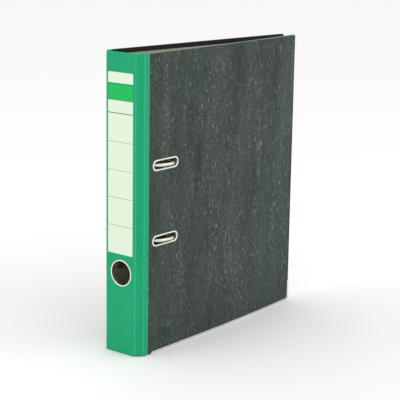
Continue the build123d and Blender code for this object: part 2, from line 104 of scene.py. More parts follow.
# Mechanism: millimetres over the back cover and away from its crease
ARCH_TOP, ARCH_FAR, ARCH_NEAR = 53.8, 50.0, 21.0
ARCH_HALF_SPACING = 40.0
AXLE_HEIGHT = 5.4
CRANK_HALF, CRANK_HEIGHT, CRANK_REACH = 13.0, 7.2, 31.5
WIRE_END, WIRE_JOIN = 33.4, 37.0
PLATE = 1.0
RIVET_ROWS, RIVET_HALF = (23.0, 49.0), 68.0

# View and light: degrees round from the spine and up, metres, watts
CAMERA_PLACE = (0.9115, -1.00727, 0.47534)
CAMERA_TURN, CAMERA_RISE, CAMERA_ROLL = 38.713, 12.814, 0.893
CAMERA_LENS = 121.45
LIGHTS = (("spine_light", -24.0, 34.0), ("cover_light", 112.0, 36.0))
LIGHT_AWAY, LIGHT_SIDE, LIGHT_POWER = 2.4, 1.6, 7.0
FLOOR_HALF = 14.0


# Sizes and colours


def length(name, description, millimetres):
    """Length setting, shown in the scene's units."""
    return bpy.props.FloatProperty(
        name=name,
        description=description,
        default=millimetres * MM,
        min=0.0,
        precision=5,
        unit="LENGTH",
        subtype="DISTANCE",
    )


def colour(name, description, linear):
    """Colour setting in linear light."""
    return bpy.props.FloatVectorProperty(
        name=name,
        description=description,
        default=linear,
        size=3,
        min=0.0,
        max=1.0,
        subtype="COLOR",
    )


class ArchFileSizes(bpy.types.PropertyGroup):
    panel: length("Panel thickness", "Board with its coverings", 2.4)
    sheet: length("Covering thickness", "Sheet glued round the boards", 0.2)
    turn_in: length("Turn-in", "Covering that shows round a lining", 5.0)
    edge_radius: length("Edge radius", "Rounding where a covering folds over an edge", 0.5)
    crease_reach: length("Crease reach", "Bending zone each side of a crease line", 3.4)
    crease_round: length("Crease rounding", "How far from the crease line its rounding starts", 1.15)
    crease_ridge: length("Crease ridge", "How far the covering stands up along a crease", 0.1)
    crease_valley: length("Crease valley", "Depth of the pressed line beside a crease", 0.13)
    ridge_shift: length("Ridge shift", "How far a ridge lies from its crease, on the strip", 0.9)
    board_setback: length("Board setback", "From a crease line to the board's edge", 1.9)
    groove_floor: length("Groove floor", "Depth of the lining where it meets the covering", 0.7)
    seam: length("Seam", "From the last crease to the edge of the spine's covering", 5.33)
    seam_lap: length("Seam lap", "Covering that laps over the cover's paper", 0.15)
    seam_proud: length("Seam height", "How far that lap stands up", 0.1)
    ring_hole: length("Thumb hole radius", "Hole in the spine's covering", 13.5)
    ring_rim: length("Thumb ring rim", "Width of the rolled rim of the thumb ring", 1.6)
    slot_rim: length("Slot rim", "Width of the rolled rim of a slot eyelet", 1.9)
    rim_height: length("Rim height", "How far a rolled rim stands up", 0.7)
    barrel: length("Barrel sheet", "Wall of an eyelet's barrel", 0.4)
    wire: length("Wire radius", "Radius of the arch wire", 1.8)
    head: length("Rivet head radius", "Radius of a rivet's head", 3.8)
    head_height: length("Rivet head height", "How far a rivet's head stands up", 1.1)
    soft_edge: length("Soft edge", "Rounding of pressed sheet metal", 0.16)


class ArchFileColours(bpy.types.PropertyGroup):
    covering: colour("Covering", "Laminated covering of the spine", (0.0025, 0.338, 0.145))
    # Real pale fibres, and painted highlight on the crease ridges and the seam's lap edge
    covering_fibre_and_highlight: colour("Covering, pale fibres and painted highlight", "Pale fibres, and painted highlight on crease ridges and the lap edge", (0.030, 0.510, 0.260))
    marble_dark: colour("Marbling, dark", "Ground of the marbled paper", (0.0155, 0.0255, 0.0205))
    marble_mid: colour("Marbling, mid", "Clouds of the marbled paper", (0.0535, 0.0715, 0.0600))
    marble_fleck: colour("Marbling, fleck", "Light flecks of the marbled paper", (0.31, 0.365, 0.335))
    # Painted highlight: pale colour for the marbled paper's top edge
    marble_painted_highlight: colour("Marbling, painted highlight", "Painted highlight along the marbled paper's top edge", (0.23, 0.25, 0.235))
    # Painted shade: near-black colour for the marbled paper's faces inside the file
    marble_painted_shade: colour("Marbling, painted shade", "Painted shade on the marbled paper inside the covers", (0.009, 0.010, 0.008))
    lining: colour("Lining", "Paper inside the covers", (0.43, 0.44, 0.325))
    board: colour("Board", "Grey board", (0.32, 0.31, 0.28))
    label: colour("Label paper", "Paper of the spine label", (0.72, 0.83, 0.665))
    label_block: colour("Label block", "Printed block on the spine label", (0.002, 0.47, 0.10))
    label_rule: colour("Label rules", "Printed rules on the spine label", (0.020, 0.038, 0.022))
    nickel: colour("Nickel", "Bright plated rims and heads", (0.86, 0.86, 0.80))
    wire: colour("Wire", "Bright plated wire", (0.76, 0.77, 0.66))
    plated: colour("Plated sheet", "Pressed sheet metal", (0.70, 0.71, 0.72))
    spring: colour("Spring steel", "Leaf spring", (0.40, 0.40, 0.42))
    nylon: colour("Roller plastic", "Roller under the lever", (0.78, 0.77, 0.70))
    black: colour("Black plastic", "Bushes of the compressor bar", (0.018, 0.018, 0.020))
    floor: colour("Floor", "Plain floor", (0.93, 0.93, 0.925))


def sizes():
    return bpy.context.scene.arch_file_sizes


def colours():
    return bpy.context.scene.arch_file_colours


# Finishes


class Finish:
    """One material, built node by node on Object coordinates."""

    def __init__(self, name, metallic=0.0, specular=0.5):
        self.material = bpy.data.materials.new(name)
        self.material.use_nodes = True
        self.tree = self.material.node_tree
        self.shader = self.tree.nodes["Principled BSDF"]
        self.shader.inputs["Metallic"].default_value = metallic
        self.shader.inputs["Specular IOR Level"].default_value = specular
        given = self.tree.nodes.new("ShaderNodeTexCoord").outputs
        self.place, self.normal = given["Object"], given["Normal"]

    def node(self, kind, links=(), **values):
        made = self.tree.nodes.new(kind)
        for key, value in values.items():
            setattr(made, key, value)
        for socket, source in links:
            if isinstance(source, bpy.types.NodeSocket):
                self.tree.links.new(source, made.inputs[socket])
            else:
                made.inputs[socket].default_value = source
        return made

    def stretched(self, scale):
        """Coordinates with the pattern drawn out along one axis."""
        return self.node("ShaderNodeMapping", [("Vector", self.place), ("Scale", scale)]).outputs[0]

    def noise(self, scale, detail=3.0, rough=0.55, place=None, twist=0.0):
        settings = [("Vector", place or self.place), ("Scale", scale), ("Detail", detail)]
        settings += [("Roughness", rough), ("Distortion", twist)]
        return self.node("ShaderNodeTexNoise", settings).outputs[0]

    def cells(self, scale, place=None):
        settings = [("Vector", place or self.place), ("Scale", scale)]
        return self.node("ShaderNodeTexVoronoi", settings).outputs["Distance"]

    def ramp(self, source, stops, interpolation="LINEAR"):
        made = self.node("ShaderNodeValToRGB", [("Fac", source)])
        made.color_ramp.interpolation = interpolation
        elements = made.color_ramp.elements
        while len(elements) < len(stops):
            elements.new(1.0)
        for element, (position, value) in zip(elements, stops):
            element.position = position
            element.color = (*value, 1.0) if hasattr(value, "__len__") else (value, value, value, 1.0)
        return made.outputs["Color"]

    def mix(self, factor, first, second):
        made = self.node("ShaderNodeMix", data_type="RGBA")
        for socket, source in (("Factor", factor), ("A", first), ("B", second)):
            found = [s for s in made.inputs if s.name == socket and s.enabled][0]
            if isinstance(source, bpy.types.NodeSocket):
                self.tree.links.new(source, found)
            else:
                found.default_value = (*source, 1.0) if hasattr(source, "__len__") else source
        return [s for s in made.outputs if s.enabled][0]

    def math(self, operation, first, second):
        return self.node("ShaderNodeMath", [(0, first), (1, second)], operation=operation).outputs[0]

    def between(self, source, low, high):
        settings = [("Value", source), ("From Min", 0.3), ("From Max", 0.7)]
        settings += [("To Min", low), ("To Max", high)]
        return self.node("ShaderNodeMapRange", settings).outputs[0]

    def climbed(self, start, end):
        """How far a point's height has gone from start to end, 0 to 1."""
        height = self.node("ShaderNodeSeparateXYZ", [(0, self.place)]).outputs["Z"]
        settings = [("Value", height), ("From Min", start), ("From Max", end)]
        return self.node("ShaderNodeMapRange", settings).outputs[0]

    def relief(self, layers):
        """Bumps laid one over another: (height source, strength, depth in metres)."""
        normal = None
        for source, strength, depth in layers:
            settings = [("Height", source), ("Strength", strength), ("Distance", depth)]
            if normal is not None:
                settings.append(("Normal", normal))
            normal = self.node("ShaderNodeBump", settings).outputs[0]
        self.tree.links.new(normal, self.shader.inputs["Normal"])

    def colour(self, source):
        self.tree.links.new(source, self.shader.inputs["Base Color"])

    def roughness(self, source):
        self.tree.links.new(source, self.shader.inputs["Roughness"])


def shade(linear, factor):
    return tuple(min(1.0, value * factor) for value in linear)


def covering_finish(name):
    """Laminated paper with a faint linen emboss and pale fibres, with a painted highlight along crease ridges
    and the seam's lap edge.
    """
    made = Finish(name, specular=0.2)
    base = colours().covering
    drift = made.noise(14.0, 3.0)
    tone = made.ramp(drift, [(0.3, shade(base, 0.955)), (0.7, shade(base, 1.045))])
    fibres = made.noise(620.0, 2.0)
    tone = made.mix(made.between(fibres, 0.0, 0.06), tone, tuple(colours().covering_fibre_and_highlight))
    # Painted highlight: paler along the crease ridges and the seam's lap edge, broken into patches
    painted_highlight = made.node("ShaderNodeAttribute", attribute_name="painted_highlight").outputs["Fac"]
    highlight_breakup = made.between(made.noise(210.0, 4.0, place=made.stretched((1.0, 1.0, 0.25))), 0.55, 1.0)
    tone = made.mix(made.math("MULTIPLY", painted_highlight, highlight_breakup), tone, tuple(colours().covering_fibre_and_highlight))
    made.colour(tone)
    made.roughness(made.between(made.noise(85.0, 4.0), 0.36, 0.47))
    weft = made.noise(1500.0, 1.0, place=made.stretched((1.0, 1.0, 0.3)))
    warp = made.noise(1500.0, 1.0, place=made.stretched((0.3, 0.3, 1.0)))
    made.relief([(drift, 0.35, 0.0012), (weft, 0.14, 0.00008), (warp, 0.14, 0.00008)])
    return made.material


def marbling(made, upright, mottle):
    """Clouds in two greens with clusters of pale flecks and specks, all drawn out upwards."""
    streaked = made.stretched((1.0, 1.0, 0.20))
    clouds = made.noise(34.0, 4.0, 0.6, streaked, 0.3)
    ground = made.math("ADD", made.math("MULTIPLY", clouds, 0.50), made.math("MULTIPLY", mottle, 0.50))
    tone = made.ramp(ground, [(0.38, tuple(colours().marble_dark)), (0.64, tuple(colours().marble_mid))])
    drift = made.noise(9.0, 2.0, 0.5, upright)
    tint = made.ramp(drift, [(0.35, (0.88, 1.04, 0.92)), (0.65, (1.09, 0.99, 1.01))])
    tinted = made.node("ShaderNodeMix", data_type="RGBA", blend_type="MULTIPLY")
    tinted.inputs[0].default_value = 1.0
    made.tree.links.new(tone, tinted.inputs[6])
    made.tree.links.new(tint, tinted.inputs[7])
    cluster = made.ramp(made.noise(62.0, 3.0, 0.6, streaked, 0.6), [(0.40, 0.14), (0.66, 1.0)])
    flecks = made.ramp(made.noise(560.0, 2.0, 0.5, upright, 0.6), [(0.575, 0.0), (0.76, 0.9)])
    specks = made.ramp(made.noise(1050.0, 2.0, 0.5, upright, 0.3), [(0.59, 0.0), (0.76, 0.85)])
    pale = made.math("MULTIPLY", made.math("MAXIMUM", flecks, specks), cluster)
    return made.mix(pale, tinted.outputs[2], tuple(colours().marble_fleck))


def marbled_finish(name, inward):
    """Marbled paper, with a painted highlight along its top edge and painted shade on faces pointing towards
    inward.
    """
    made = Finish(name, specular=0.2)
    upright = made.stretched((1.0, 1.0, 0.38))
    mottle = made.noise(240.0, 4.0, 0.68, upright, 0.5)
    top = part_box("front_paper")[1].z
    # Painted highlight: a pale line along the paper's top edge, broken up by the mottle
    edge = made.climbed(top - EDGE_HIGHLIGHT_FROM, top - EDGE_HIGHLIGHT_FULL)
    edge_highlight = made.math("MULTIPLY", edge, made.between(mottle, 0.45, 1.0))
    tone = made.mix(edge_highlight, marbling(made, upright, mottle), tuple(colours().marble_painted_highlight))
    # Painted shade: faces pointing towards inward are mixed to near black (on the back cover, its top faces
    # as well)
    facing = made.node("ShaderNodeVectorMath", [(0, made.normal), (1, inward)], operation="DOT_PRODUCT")
    turned = made.math("MULTIPLY", made.between(facing.outputs["Value"], 0.0, 1.0), 0.85)
    made.colour(made.mix(turned, tone, tuple(colours().marble_painted_shade)))
    made.roughness(made.between(mottle, 0.50, 0.62))
    made.relief([(made.noise(30.0, 2.0), 0.25, 0.0009), (made.noise(900.0, 3.0), 0.16, 0.00008)])
    return made.material


def paper_finish(name, base, specular=0.2):
    """Uncoated paper with short fibres and a slight drift of tone."""
    made = Finish(name, specular=specular)
    drift = made.ramp(made.noise(18.0, 4.0), [(0.3, shade(base, 0.93)), (0.7, shade(base, 1.04))])
    fibres = made.noise(750.0, 3.0, 0.6, made.stretched((1.0, 1.0, 0.35)))
    made.colour(made.mix(made.between(fibres, 0.0, 0.22), drift, shade(base, 0.80)))
    made.roughness(made.between(made.noise(240.0, 3.0), 0.68, 0.82))
    made.relief([(fibres, 0.22, 0.00008)])
    return made.material


def label_finish(name):
    """Printed spine label: fields, one bright block and writing rules, no lettering."""
    made = Finish(name, specular=0.2)
    foot, top = (corner.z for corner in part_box("spine_label"))
    height = top - foot
    paper = tuple(colours().label)
    block = tuple(colours().label_block)
    rule = tuple(colours().label_rule)
    thin = shade(paper, 0.60)
    layout = [(0.0, paper), (BLOCK_RULE, rule), (BLOCK_TOP, block), (BLOCK_FOOT, paper)]
    layout += [(FIELD_RULE, rule), (FIELD_TOP, paper)]
    for line in WRITING_RULES:
        layout += [(line - WRITING_RULE_HALF, thin), (line + WRITING_RULE_HALF, paper)]
    stops = [(distance * MM / height, value) for distance, value in layout]
    printed = made.ramp(made.climbed(top, foot), stops, "CONSTANT")
    fibres = made.noise(520.0, 3.0)
    made.colour(made.mix(made.between(fibres, 0.0, 0.03), printed, shade(paper, 0.3)))
    made.roughness(made.between(made.noise(130.0, 3.0), 0.44, 0.56))
    made.relief([(made.noise(22.0, 2.0), 0.3, 0.0007), (fibres, 0.12, 0.00005)])
    return made.material


def metal_finish(name, base, rough, grain, along=(1.0, 1.0, 1.0)):
    """Metal with clouded roughness and fine working marks."""
    made = Finish(name, metallic=1.0)
    cloud = made.noise(70.0, 4.0, 0.6)
    made.colour(made.ramp(cloud, [(0.3, shade(base, 0.93)), (0.7, shade(base, 1.03))]))
    marks = made.noise(grain, 3.0, 0.6, made.stretched(along))
    spread = made.math("ADD", made.math("MULTIPLY", cloud, 0.6), made.math("MULTIPLY", marks, 0.4))
    made.roughness(made.between(spread, rough * 0.75, rough * 1.35))
    made.relief([(cloud, 0.15, 0.0003), (marks, 0.10, 0.00003)])
    return made.material


def plastic_finish(name, base, rough):
    """Moulded plastic with a fine spark-eroded skin."""
    made = Finish(name, specular=0.5)
    cloud = made.noise(90.0, 3.0)
    made.colour(made.ramp(cloud, [(0.3, shade(base, 0.92)), (0.7, shade(base, 1.06))]))
    skin = made.cells(2400.0)
    made.roughness(made.between(made.noise(300.0, 3.0), rough * 0.85, rough * 1.15))
    made.relief([(skin, 0.18, 0.00005)])
    return made.material


FINISHES = {
    "green_cover": covering_finish,
    "lining": lambda name: paper_finish(name, colours().lining),
    "greyboard": lambda name: paper_finish(name, colours().board),
    "label": label_finish,
    "nickel": lambda name: metal_finish(name, colours().nickel, 0.30, 900.0),
    "nickel_wire": lambda name: metal_finish(name, colours().wire, 0.17, 1200.0, (1, 1, 0.1)),
    "plated_sheet": lambda name: metal_finish(name, colours().plated, 0.30, 700.0, (1, 1, 0.06)),
    "spring_steel": lambda name: metal_finish(name, colours().spring, 0.34, 1100.0, (0.1, 0.1, 1)),
    "roller_plastic": lambda name: plastic_finish(name, colours().nylon, 0.42),
    "black_plastic": lambda name: plastic_finish(name, colours().black, 0.48),
}


def finish_for(slot):
    """The slot's material, made the first time it is asked for."""
    name = slot + "_finish"
    return bpy.data.materials.get(name) or FINISHES[slot](name)


def dress(node, material):
    """Gives a CAD node its finish."""
    mesh = frame["nodes"][node].data
    mesh.materials.clear()
    mesh.materials.append(material)


# Plan of the case: panels in order from the back cover round to the front cover


def flat(vector):
    return Vector((vector[0], vector[1]))


def outward(direction):
    """Outward side of a panel that runs along direction."""
    return Vector((direction.y, -direction.x))


def crease_points():
    names = ("back_cover_crease", "back_spine_crease", "front_spine_crease", "front_cover_crease")
    return [flat(joints[name]["pos_m"]) for name in names]


def panel_directions():
    """Directions of back cover, back strip, spine, front strip and front cover."""
    points = crease_points()
    rise = flat(joints["bar_slide"]["axis"]).normalized()
    middle = [(b - a).normalized() for a, b in zip(points, points[1:])]
    return [Vector((rise.y, -rise.x))] + middle + [Vector((0.0, 1.0))]


def mechanism_matrix():
    """From the mechanism's own frame to the case: x up from the back cover, y away from its crease."""
    rise = flat(joints["bar_slide"]["axis"]).normalized()
    origin = joints["back_cover_crease"]["pos_m"]
    level = joints["arch_swing"]["pos_m"][2]
    return Matrix((
        (rise.x, -rise.y, 0.0, origin[0]),
        (rise.y, rise.x, 0.0, origin[1]),
        (0.0, 0.0, 1.0, level),
        (0.0, 0.0, 0.0, 1.0),
    ))


# Mesh work


def add_object(name, mesh):
    made = bpy.data.objects.new(name, mesh)
    bpy.context.scene.collection.objects.link(made)
    return made


def mesh_from(name, points, faces, edges=()):
    mesh = bpy.data.meshes.new(name)
    mesh.from_pydata([tuple(point) for point in points], list(edges), faces)
    mesh.update()
    return mesh


def settle(made):
    """Turns an object with modifiers into one with a plain mesh of the same name."""
    graph = bpy.context.evaluated_depsgraph_get()
    mesh = bpy.data.meshes.new_from_object(made.evaluated_get(graph))
    made.modifiers.clear()
    made.data = mesh
    mesh.name = made.name
    return made


def soften_shading(made, angle=SMOOTH_ANGLE):
    made.data.polygons.foreach_set("use_smooth", [True] * len(made.data.polygons))
    made.data.set_sharp_from_angle(angle=angle)
    made.data.update()


def finished(made, slot, body=None):
    """Gives a made piece the material of its slot and, if it is rigid, its body."""
    made.data.materials.clear()
    made.data.materials.append(finish_for(slot))
    if body:
        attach(made, body)
    return made


def resampled(points, count):
    """The same line with count points, evenly spaced."""
    steps = [(b - a).length for a, b in zip(points, points[1:])]
    total = sum(steps)
    found = [points[0].copy()]
    for index in range(1, count - 1):
        wanted = total * index / (count - 1)
        for start, end, step in zip(points, points[1:], steps):
            if wanted <= step:
                found.append(start.lerp(end, wanted / step))
                break
            wanted -= step
    found.append(points[-1].copy())
    return found


def rounded(points, rounds=3):
    """Corner-cut version of a line that keeps its ends."""
    for _ in range(rounds):
        cut = [points[0]]
        for start, end in zip(points, points[1:]):
            cut += [start.lerp(end, 0.25), start.lerp(end, 0.75)]
        cut.append(points[-1])
        points = cut
    return points


def even(first, last, steps):
    """Evenly spaced values, both ends included."""
    return [first + (last - first) * step / steps for step in range(steps + 1)]


def wrap_path(foot, top):
    """(depth, height) pairs from the turned-in foot, up the outer face, to the turned-in top."""
    depth, turn_in, radius = sizes().panel, sizes().turn_in, sizes().edge_radius
    quarter = [math.radians(18.0 * step) for step in range(6)]
    low = [(depth, foot + turn_in)]
    low += [(depth - radius + radius * math.cos(a), foot + radius - radius * math.sin(a)) for a in quarter]
    low += [(radius - radius * math.sin(a), foot + radius - radius * math.cos(a)) for a in quarter]
    start, end = foot + radius, top - radius
    face = [(0.0, height) for height in even(start, end, FACE_STEPS)[1:-1]]
    high = [(pair[0], foot + top - pair[1]) for pair in reversed(low)]
    return low + face + high


def grid_faces(rows, columns):
    faces = []
    for row in range(rows - 1):
        for column in range(columns - 1):
            corner = row * columns + column
            faces.append((corner, corner + 1, corner + columns + 1, corner + columns))
    return faces


def thickened(made, angle):
    """Gives a surface the covering's thickness, inwards."""
    wall = made.modifiers.new("Wall", "SOLIDIFY")
    wall.thickness = sizes().sheet
    wall.offset = -1.0
    settle(made)
    soften_shading(made, angle)
    return made


def folded_sheet(name, outer, inner, foot, top, painted_highlight=None):
    """Covering sheet over an outer plan line, turned in over the top and foot to an inner one."""
    path = wrap_path(foot, top)
    points = []
    for depth, height in path:
        share = depth / sizes().panel
        for near, far in zip(outer, inner):
            place = near.lerp(far, share)
            points.append((place.x, place.y, height))
    mesh = mesh_from(name, points, grid_faces(len(path), len(outer)))
    # Per point across the sheet, how strong its painted highlight is
    if painted_highlight:
        attribute = mesh.attributes.new("painted_highlight", "FLOAT", "POINT")
        attribute.data.foreach_set("value", painted_highlight * len(path))
    made = add_object(name, mesh)
    return thickened(made, FOLD_ANGLE)


# Pieces of the case


def panel_line(start, direction, distances, depth=0.0):
    side = outward(direction)
    return [start + direction * distance - side * depth for distance in distances]


def crease_lines(corner, before, after, strip_side):
    """Outer and inner plan lines of a crease piece, and the strength of the painted highlight at each point,
    along its ridge.
    """
    size = sizes()
    reach, near, setback = size.crease_reach, size.crease_round, size.board_setback
    spine_side, far_side = outward(before), outward(after)
    middle = (spine_side + far_side).normalized()
    soft = rounded([
        corner - before * reach,
        corner - before * (near + reach) / 2,
        corner - before * near,
        corner,
        corner + after * near,
        corner + after * (near + reach) / 2,
        corner + after * reach,
    ])
    outer = resampled(soft, CREASE_POINTS)
    painted_highlight = []
    for index, point in enumerate(outer):
        share = index / (CREASE_POINTS - 1)
        on_strip = (share - 0.5) * 2 * reach * strip_side - size.ridge_shift
        ridge = math.exp(-((on_strip / RIDGE_WIDTH) ** 2))
        valley = math.exp(-(((on_strip - VALLEY_SHIFT) / VALLEY_WIDTH) ** 2))
        side = spine_side.lerp(far_side, share).normalized()
        outer[index] = point + side * (ridge * size.crease_ridge - valley * size.crease_valley)
        # Painted highlight along the ridge
        painted_highlight.append(0.8 * ridge)
    deep = size.panel
    inner = resampled(rounded([
        corner - before * reach - spine_side * deep,
        corner - before * setback - spine_side * deep,
        corner - before * (setback - BOARD_CORNER) - spine_side * deep * 0.6,
        corner - middle * size.groove_floor,
        corner + after * (setback - BOARD_CORNER) - far_side * deep * 0.6,
        corner + after * setback - far_side * deep,
        corner + after * reach - far_side * deep,
    ]), CREASE_POINTS)
    return outer, inner, painted_highlight


def groove_line(corner, before, after):
    """Plan line of the lining where it dips between two boards."""
    size = sizes()
    setback, deep = size.board_setback, size.panel
    spine_side, far_side = outward(before), outward(after)
    middle = (spine_side + far_side).normalized()
    return resampled(rounded([
        corner - before * setback - spine_side * deep,
        corner - before * (setback - LINING_CORNER) - spine_side * deep * 0.94,
        corner - before * (setback - BOARD_CORNER) - spine_side * deep * 0.5,
        corner - middle * (size.groove_floor + 0.05 * MM),
        corner + after * (setback - BOARD_CORNER) - far_side * deep * 0.5,
        corner + after * (setback - LINING_CORNER) - far_side * deep * 0.94,
        corner + after * setback - far_side * deep,
    ]), GROOVE_POINTS)


class ARCHFILE_OT_panels(bpy.types.Operator):
    """Finish the boards, cover papers and linings"""

    bl_idname = "archfile.panels"
    bl_label = "Boards, Papers and Linings"

    def execute(self, context):
        board, lining = finish_for("greyboard"), finish_for("lining")
        rise = Vector(joints["bar_slide"]["axis"]).normalized()
        # inward: where each cover's marbled paper gets painted shade; on the back cover it takes in the top
        # faces too
        sides = (("front", Vector((-1.0, 0.0, 0.0))), ("back", rise + Vector((0.0, 0.0, 1.0))))
        for part, inward in sides:
            dress(part + "_board", board)
            dress(part + "_paper", marbled_finish(part + "_marbled_finish", inward.normalized()))
            dress(part + "_lining", lining)
            dress(part + "_strip_board", board)
            dress(part + "_strip_lining", lining)
        dress("spine_board", board)
        dress("spine_lining", lining)
        return {"FINISHED"}


class ARCHFILE_OT_coverings(bpy.types.Operator):
    """Make the laminated covering of the spine, the hinge strips and the covers' near edges"""

    bl_idname = "archfile.coverings"
    bl_label = "Laminated Coverings"

    def execute(self, context):
        size = sizes()
        points = crease_points()
        back, back_strip, spine, front_strip, front = panel_directions()
        reach = size.crease_reach
        middle = [
            ("spine", points[1], points[2], spine, 14),
            ("back_strip", points[0], points[1], back_strip, 6),
            ("front_strip", points[2], points[3], front_strip, 6),
        ]
        for body, start, end, direction, steps in middle:
            distances = even(reach, (end - start).length - reach, steps)
            outer = panel_line(start, direction, distances)
            inner = panel_line(start, direction, distances, size.panel)
            low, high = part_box(body + "_cover")
            made = folded_sheet(body + "_covering", outer, inner, low.z, high.z)
            if body == "spine":
                self.cut_thumb_hole(made)
            finished(made, "green_cover", body)
            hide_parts(body + "_cover")
        lap = size.seam + size.seam_lap
        steps = even(reach, size.seam - 0.6 * MM, 3)
        steps += [size.seam - 0.35 * MM, size.seam - 0.1 * MM, lap - 0.04 * MM, lap]
        lifts = [0.0] * 5 + [size.seam_proud * share for share in (0.7, 1.0, 0.75)]
        # Painted highlight along the lap's raised edge
        lap_highlight = [0.0] * 4 + [0.6, 0.9, 0.9, 0.3]
        for part, corner, along, side in (
            ("front", points[3], front, outward(front)),
            ("back", points[0], -back, outward(back)),
        ):
            outer = [corner + along * s + side * lift for s, lift in zip(steps, lifts)]
            inner = [corner + along * s - side * (size.panel + lift) for s, lift in zip(steps, lifts)]
            painted_highlight = list(lap_highlight)
            if part == "back":
                for line in (outer, inner, painted_highlight):
                    line.reverse()
            low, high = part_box(part + "_band")
            made = folded_sheet(part + "_band_covering", outer, inner, low.z, high.z, painted_highlight)
            finished(made, "green_cover", part + "_cover")
            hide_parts(part + "_band")
        return {"FINISHED"}

    def cut_thumb_hole(self, made):
        """Cuts the round opening that the thumb ring lines."""
        low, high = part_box("thumb_ring")
        radius = sizes().ring_hole
        mesh = bpy.data.meshes.new("thumb_punch")
        work = bmesh.new()
        bmesh.ops.create_cone(work, cap_ends=True, segments=96, radius1=radius, radius2=radius, depth=20 * MM)
        bmesh.ops.rotate(work, verts=work.verts, matrix=Matrix.Rotation(math.radians(90), 3, "X"))
        bmesh.ops.translate(work, verts=work.verts, vec=(low + high) / 2)
        work.to_mesh(mesh)
        work.free()
        punch = add_object("thumb_punch", mesh)
        cut = made.modifiers.new("Hole", "BOOLEAN")
        cut.operation = "DIFFERENCE"
        cut.solver = "EXACT"
        cut.object = punch
        settle(made)
        bpy.data.objects.remove(punch)
        soften_shading(made, FOLD_ANGLE)


class ARCHFILE_OT_creases(bpy.types.Operator):
    """Make the covering and lining at the four creases"""

    bl_idname = "archfile.creases"
    bl_label = "Creases"

    def execute(self, context):
        size = sizes()
        points = crease_points()
        ways = panel_directions()
        names = ("back_cover", "back_spine", "front_spine", "front_cover")
        low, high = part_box("front_strip_cover")
        for index, name in enumerate(names):
            corner, before, after = points[index], ways[index], ways[index + 1]
            strip_side = 1 if index in (0, 2) else -1
            outer, inner, painted_highlight = crease_lines(corner, before, after, strip_side)
            made = folded_sheet(name + "_crease_covering", outer, inner, low.z, high.z, painted_highlight)
            finished(made, "green_cover")
            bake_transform(made)
            line = groove_line(corner, before, after)
            heights = even(low.z + size.turn_in, high.z - size.turn_in, 40)
            made = self.groove_lining(name + "_crease_lining", line, heights)
            finished(made, "lining")
            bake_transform(made)
        return {"FINISHED"}

    def groove_lining(self, name, line, heights):
        """Lining paper that dips into the groove between two boards."""
        points = [(place.x, place.y, height) for height in heights for place in line]
        faces = [tuple(reversed(face)) for face in grid_faces(len(heights), len(line))]
        return thickened(add_object(name, mesh_from(name, points, faces)), math.radians(60))


class ARCHFILE_OT_label(bpy.types.Operator):
    """Print the spine label's fields and rules"""

    bl_idname = "archfile.label"
    bl_label = "Spine Label"

    def execute(self, context):
        dress("spine_label", finish_for("label"))
        return {"FINISHED"}


# Geometry Nodes


def new_tree(name, inputs):
    """Node group with a geometry in and out and the named inputs."""
    tree = bpy.data.node_groups.new(name, "GeometryNodeTree")
    tree.interface.new_socket("Geometry", in_out="INPUT", socket_type="NodeSocketGeometry")
    for label, kind, default in inputs:
        made = tree.interface.new_socket(label, in_out="INPUT", socket_type=kind)
        if default is not None:
            made.default_value = default
    tree.interface.new_socket("Geometry", in_out="OUTPUT", socket_type="NodeSocketGeometry")
    return tree


def tree_node(tree, kind, links=(), **values):
    made = tree.nodes.new(kind)
    for key, value in values.items():
        setattr(made, key, value)
    for socket, source in links:
        if isinstance(source, bpy.types.NodeSocket):
            tree.links.new(source, made.inputs[socket])
        else:
            made.inputs[socket].default_value = source
    return made


def close_tree(tree, geometry, material):
    """Smooth faces, real geometry and one material at the end of a tree."""
    smooth = tree_node(tree, "GeometryNodeSetShadeSmooth", [(0, geometry)])
    real = tree_node(tree, "GeometryNodeRealizeInstances", [(0, smooth.outputs[0])])
    painted = tree_node(tree, "GeometryNodeSetMaterial", [(0, real.outputs[0]), ("Material", material)])
    tree_node(tree, "NodeGroupOutput", [(0, painted.outputs[0])])


def grown(name, tree, values, base=None):
    """Runs a tree on a base mesh and keeps the result as a plain mesh."""
    made = add_object(name, base or bpy.data.meshes.new(name))
    modifier = made.modifiers.new("Nodes", "NODES")
    modifier.node_group = tree
    for item in tree.interface.items_tree:
        if item.item_type == "SOCKET" and item.in_out == "INPUT" and item.name in values:
            modifier[item.identifier] = values[item.name]
    return settle(made)


def math_node(tree, operation, first, second):
    return tree_node(tree, "ShaderNodeMath", [(0, first), (1, second)], operation=operation).outputs[0]


def vector_node(tree, x=0.0, y=0.0, z=0.0):
    return tree_node(tree, "ShaderNodeCombineXYZ", [(0, x), (1, y), (2, z)]).outputs[0]


